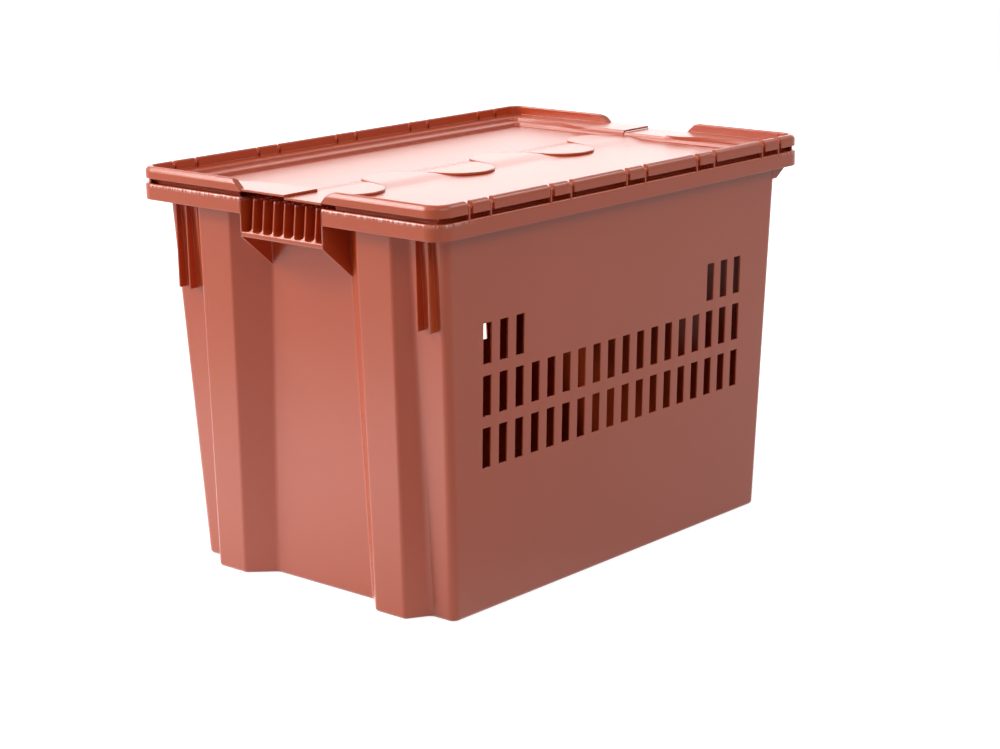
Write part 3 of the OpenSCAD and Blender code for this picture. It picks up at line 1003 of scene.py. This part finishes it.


# Short upright pale streaks on the upper edge of the rim's ends: partly scuffs where other bins scrape it,
# partly a painted highlight where that edge catches the light
def scuffAndHighlightMarks(tree, vector, settings):
    smooth = {"interpolation_type": "SMOOTHSTEP"}
    parts = addNode(tree, "ShaderNodeSeparateXYZ", inputs={"Vector": vector})
    near = remap(tree, parts.outputs["Z"], [level * mm for level in settings["scuffHighlightHeights"]], smooth)
    under = addNode(tree, "ShaderNodeMath", {"operation": "LESS_THAN"}, {
        0: parts.outputs["Z"], 1: settings["scuffHighlightTop"] * mm})
    stretched = addNode(tree, "ShaderNodeMapping", inputs={
        "Vector": vector, "Scale": (1.0, 1.0, settings["scuffHighlightStretch"])})
    noise = addNode(tree, "ShaderNodeTexNoise", inputs={
        "Vector": stretched.outputs["Vector"], "Scale": settings["scuffHighlightScale"],
        "Detail": 3.0, "Roughness": 0.7})
    along = addNode(tree, "ShaderNodeMath", {"operation": "ABSOLUTE"}, {0: parts.outputs["X"]})
    atEnd = remap(tree, along.outputs["Value"], [place * mm for place in settings["scuffHighlightEnd"]], smooth)
    facing = addNode(tree, "ShaderNodeSeparateXYZ", inputs={
        "Vector": addNode(tree, "ShaderNodeNewGeometry").outputs["Normal"]})
    tilt = addNode(tree, "ShaderNodeMath", {"operation": "ABSOLUTE"}, {0: facing.outputs["Z"]})
    upright = remap(tree, tilt.outputs["Value"], settings["scuffHighlightTilt"], smooth, (1.0, 0.0))
    mask = remap(tree, noise.outputs["Fac"], settings["scuffHighlightStreak"])
    for part in (near, under.outputs["Value"], atEnd, upright):
        product = addNode(tree, "ShaderNodeMath", {"operation": "MULTIPLY"}, {0: mask, 1: part})
        mask = product.outputs["Value"]
    return mask


def mouldedPolyethylene(name, settings, scuffAndHighlight):
    material, tree = newMaterial(name)
    place = addNode(tree, "ShaderNodeTexCoord").outputs["Object"]
    cloud = addNode(tree, "ShaderNodeTexNoise", inputs={
        "Vector": place, "Scale": settings["cloudScale"], "Detail": 3.0})
    base = addNode(tree, "ShaderNodeMix", {"data_type": "RGBA"}, {
        "Factor": cloud.outputs["Fac"], "A": colour(settings["shade"]),
        "B": colour(settings["colour"])})
    # pale streaks painted on the rim ends: part scuff wear, part painted highlight
    if scuffAndHighlight:
        base = addNode(tree, "ShaderNodeMix", {"data_type": "RGBA"}, {
            "Factor": scuffAndHighlightMarks(tree, place, settings), "A": base.outputs["Result"],
            "B": colour(settings["scuffAndHighlight"])})
    grain = addNode(tree, "ShaderNodeTexNoise", inputs={
        "Vector": place, "Scale": settings["grainScale"], "Detail": 2.0})
    flow = addNode(tree, "ShaderNodeTexNoise", inputs={
        "Vector": place, "Scale": settings["flowScale"], "Detail": 1.0})
    corners = addNode(tree, "ShaderNodeBevel", {"samples": 4}, {
        "Radius": settings["cornerRadius"] * mm})
    wave = addNode(tree, "ShaderNodeBump", inputs={
        "Height": flow.outputs["Fac"], "Strength": settings["flowStrength"],
        "Distance": settings["flowDepth"] * mm, "Normal": corners.outputs["Normal"]})
    fine = addNode(tree, "ShaderNodeBump", inputs={
        "Height": grain.outputs["Fac"], "Strength": settings["grainStrength"],
        "Distance": settings["grainDepth"] * mm, "Normal": wave.outputs["Normal"]})
    shader = addNode(tree, "ShaderNodeBsdfPrincipled", inputs={
        "Base Color": base.outputs["Result"], "Roughness": settings["roughness"],
        "IOR": settings["ior"], "Normal": fine.outputs["Normal"]})
    addNode(tree, "ShaderNodeOutputMaterial", inputs={"Surface": shader.outputs["BSDF"]})
    return material


# Bright drawn steel wire, roughness 0.25 to 0.45, with marks 50 mm long and 0.5 mm wide along it
drawnWire = {
    "colour": "c9cacb",
    "marks": (20.0, 2000.0, 2000.0),
    "roughness": (0.25, 0.45),
}


def drawnSteel(name, settings):
    material, tree = newMaterial(name)
    place = addNode(tree, "ShaderNodeTexCoord")
    stretch = addNode(tree, "ShaderNodeMapping", inputs={
        "Vector": place.outputs["Object"], "Scale": settings["marks"]})
    marks = addNode(tree, "ShaderNodeTexNoise", inputs={
        "Vector": stretch.outputs["Vector"], "Scale": 1.0})
    rough = remap(tree, marks.outputs["Fac"], (0.0, 1.0), None, settings["roughness"])
    shader = addNode(tree, "ShaderNodeBsdfPrincipled", inputs={
        "Base Color": colour(settings["colour"]), "Metallic": 1.0, "Roughness": rough})
    addNode(tree, "ShaderNodeOutputMaterial", inputs={"Surface": shader.outputs["BSDF"]})
    return material


# The studio, in metres. The sky's two strengths are those that surfaces receive and that they mirror
studio = {
    "sky": (0.13, 0.9),
    "paper": "b4b4b4",
    "glow": {"place": (-0.6, 0.3, 0.0), "reach": (0.0, 0.9), "strengths": (2.6, 0.9)},
    "floorSize": 8.0,
    "shadow": {"reach": (0.4, 1.0), "strengths": (0.85, 1.0)},
    "lights": (
        # name, place, aim, size, watts
        ("left softbox", (-1.9, -0.35, 2.3), (-0.25, 0.0, 0.25), (0.9, 0.9), 9),
        ("low panel", (-2.35, 2.0, 1.15), (-0.3, -0.1, 0.4), (0.6, 0.9), 26),
        ("middle panel", (-1.75, 2.0, 1.95), (-0.3, -0.1, 0.42), (0.9, 0.8), 36),
        ("high panel", (-0.7, 2.0, 2.45), (-0.3, -0.1, 0.42), (1.3, 0.5), 27),
        ("right softbox", (1.7, -0.75, 2.0), (0.0, -0.2, 0.42), (0.8, 0.6), 7),
        ("front softbox", (-0.3, -2.6, 2.2), (0.0, 0.0, 0.25), (2.4, 1.4), 25),
        ("back panel", (2.75, 2.1, 1.2), (0.0, 0.0, 0.42), (3.6, 1.5), 30),
    ),
}

# The photograph's camera, in metres and degrees, with its shift in shares of the picture's width
camera = {
    "place": (-1.85348, -1.67457, 0.80301),
    "yaw": 39.658,
    "pitch": -14.444,
    "roll": -0.5535,
    "lens": 83.24,
    "shift": (-0.08185, 0.01406),
}


def placeCamera():
    data = bpy.data.cameras.new("photo camera")
    data.sensor_width = 36
    data.sensor_fit = "HORIZONTAL"
    data.lens = camera["lens"]
    data.shift_x, data.shift_y = camera["shift"]
    yaw, pitch, roll = (math.radians(camera[key]) for key in ("yaw", "pitch", "roll"))
    forward = Vector((math.cos(pitch) * math.cos(yaw), math.cos(pitch) * math.sin(yaw), math.sin(pitch)))
    right = forward.cross(Vector((0, 0, 1))).normalized()
    up = right.cross(forward)
    across = math.cos(roll) * right + math.sin(roll) * up
    over = math.cos(roll) * up - math.sin(roll) * right
    turned = Matrix((across, over, -forward)).transposed().to_4x4()
    eye = bpy.data.objects.new("photo camera", data)
    eye.matrix_world = Matrix.Translation(Vector(camera["place"])) @ turned
    bpy.context.scene.collection.objects.link(eye)
    bpy.context.scene.camera = eye


# The camera sees the floor white with a faint shadow, reflections see it glow beside the bin, and its other
# light is that of grey paper
def paleFloor():
    material, tree = newMaterial("pale studio paper")
    smooth = {"interpolation_type": "SMOOTHSTEP"}
    shadow, glow = studio["shadow"], studio["glow"]
    path = addNode(tree, "ShaderNodeLightPath")
    paper = addNode(tree, "ShaderNodeBsdfDiffuse", inputs={"Color": colour(studio["paper"])})
    spot = addNode(tree, "ShaderNodeNewGeometry").outputs["Position"]
    fromBin = addNode(tree, "ShaderNodeVectorMath", {"operation": "LENGTH"}, {0: spot})
    away = addNode(tree, "ShaderNodeVectorMath", {"operation": "DISTANCE"}, {0: spot, 1: glow["place"]})
    shades = []
    for distance, span, strengths in (
            (fromBin, shadow["reach"], shadow["strengths"]),
            (away, glow["reach"], glow["strengths"])):
        strength = remap(tree, distance.outputs["Value"], span, smooth, strengths)
        light = addNode(tree, "ShaderNodeEmission", inputs={
            "Color": colour("ffffff"), "Strength": strength})
        shade = addNode(tree, "ShaderNodeAddShader", inputs={
            0: paper.outputs["BSDF"], 1: light.outputs["Emission"]})
        shades.append(shade.outputs["Shader"])
    seen, mirrored = shades
    unseen = addNode(tree, "ShaderNodeMixShader", inputs={
        0: path.outputs["Is Glossy Ray"], 1: paper.outputs["BSDF"], 2: mirrored})
    mix = addNode(tree, "ShaderNodeMixShader", inputs={
        0: path.outputs["Is Camera Ray"], 1: unseen.outputs["Shader"], 2: seen})
    addNode(tree, "ShaderNodeOutputMaterial", inputs={"Surface": mix.outputs["Shader"]})
    half = studio["floorSize"] / 2
    mesh = bpy.data.meshes.new("floor")
    corners = [(-half, -half, 0), (half, -half, 0), (half, half, 0), (-half, half, 0)]
    mesh.from_pydata(corners, [], [(0, 1, 2, 3)])
    mesh.materials.append(material)
    floor = bpy.data.objects.new("floor", mesh)
    bpy.context.scene.collection.objects.link(floor)


def whiteWorld():
    world = bpy.data.worlds.new("studio")
    bpy.context.scene.world = world
    world.use_nodes = True
    tree = world.node_tree
    tree.nodes.clear()
    path = addNode(tree, "ShaderNodeLightPath")
    glossy = remap(tree, path.outputs["Is Glossy Ray"], (0.0, 1.0), None, studio["sky"])
    strength = addNode(tree, "ShaderNodeMath", {"operation": "MAXIMUM"}, {
        0: glossy, 1: path.outputs["Is Camera Ray"]})
    sky = addNode(tree, "ShaderNodeBackground", inputs={
        "Color": colour("ffffff"), "Strength": strength.outputs["Value"]})
    addNode(tree, "ShaderNodeOutputWorld", inputs={"Surface": sky.outputs["Background"]})


def softLights():
    for name, place, aim, size, watts in studio["lights"]:
        data = bpy.data.lights.new(name, "AREA")
        data.shape = "RECTANGLE"
        data.size, data.size_y = size
        data.energy = watts
        lamp = bpy.data.objects.new(name, data)
        direction = Vector(aim) - Vector(place)
        lamp.rotation_euler = direction.to_track_quat("-Z", "Y").to_euler()
        lamp.location = place
        bpy.context.scene.collection.objects.link(lamp)


print("camera")
placeCamera()
print("materials")
# the crate's plastic carries the painted highlight streaks on the rim ends, partly scuffs; the lid's plastic
# does not
cratePlastic = mouldedPolyethylene("moulded polyethylene crate", mouldedPlastic, True)
lidPlastic = mouldedPolyethylene("moulded polyethylene lid", mouldedPlastic, False)
steel = drawnSteel("drawn steel wire", drawnWire)
print("crate")
makeCrate(cratePlastic)
print("flaps and rods")
makeFlap(-1, "front_flap_shell", lidPlastic, "front_flap", "lid_flap_front")
makeFlap(1, "back_flap_shell", lidPlastic, "back_flap", "lid_flap_back")
makeRod(-1, "front_rod", steel, "hinge_rod_front")
makeRod(1, "back_rod", steel, "hinge_rod_back")
print("studio")
paleFloor()
whiteWorld()
softLights()
bpy.context.scene.view_settings.view_transform = "Standard"
